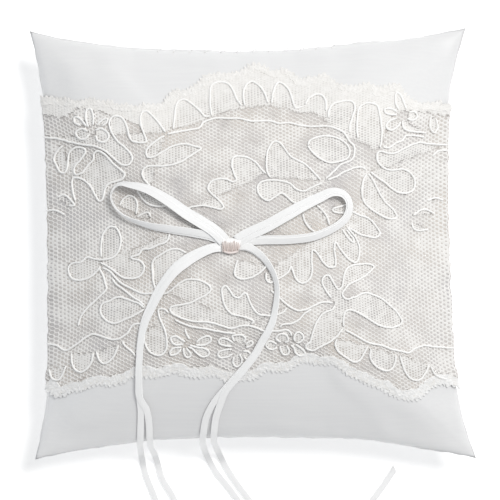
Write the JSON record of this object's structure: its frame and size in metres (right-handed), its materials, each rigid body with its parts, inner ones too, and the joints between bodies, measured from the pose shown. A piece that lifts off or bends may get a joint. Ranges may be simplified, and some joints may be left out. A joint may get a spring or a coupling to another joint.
{
  "type": "ring bearer pillow",
  "caption": "Stuffed satin square pillow with a corded lace band across its front and a double narrow ribbon bow that ties wedding rings on.",
  "frame": {"origin": "centre of the resting face, under the middle of the pillow, at table level; the free ribbon ends are not counted", "axes": "+Z out of the front face, which carries the lace and the bow; +Y towards the top edge, away from the ribbon ends; +X to the right seen from the front"},
  "size_m": [0.2094, 0.281, 0.0701],
  "materials": {
    "satin": "matt duchess satin with a fine crosswise rib and a soft sheen",
    "lace": "ivory white cotton net, matt",
    "gimp": "raised twisted cotton cord",
    "ribbon": "glossy narrow satin ribbon",
    "thread": "twisted polyester sewing thread",
    "fibre": "loose polyester fibre"
  },
  "bodies": {
    "root": {"filling": "fibre", "cover_front": "satin", "cover_back": "satin", "seam_thread": "thread", "closing_stitches": "thread", "lace_net": "lace", "lace_edge_top": "lace", "lace_edge_bottom": "lace", "lace_arches_top": "gimp", "lace_arches_bottom": "gimp", "lace_stems": "gimp", "lace_leaves_left": "gimp", "lace_leaves_centre": "gimp", "lace_leaves_right": "gimp", "lace_leaves_lower_left": "gimp", "lace_leaves_lower_right": "gimp", "lace_flowers": "gimp", "ribbon_1_loop_left": "ribbon", "ribbon_1_loop_right": "ribbon", "ribbon_1_tail_left": "ribbon", "ribbon_1_tail_right": "ribbon", "ribbon_2_loop_left": "ribbon", "ribbon_2_loop_right": "ribbon", "ribbon_2_tail_left": "ribbon", "ribbon_2_tail_right": "ribbon", "bow_knot": "ribbon", "bow_tack_stitches": "thread"}
  },
  "joints": []
}
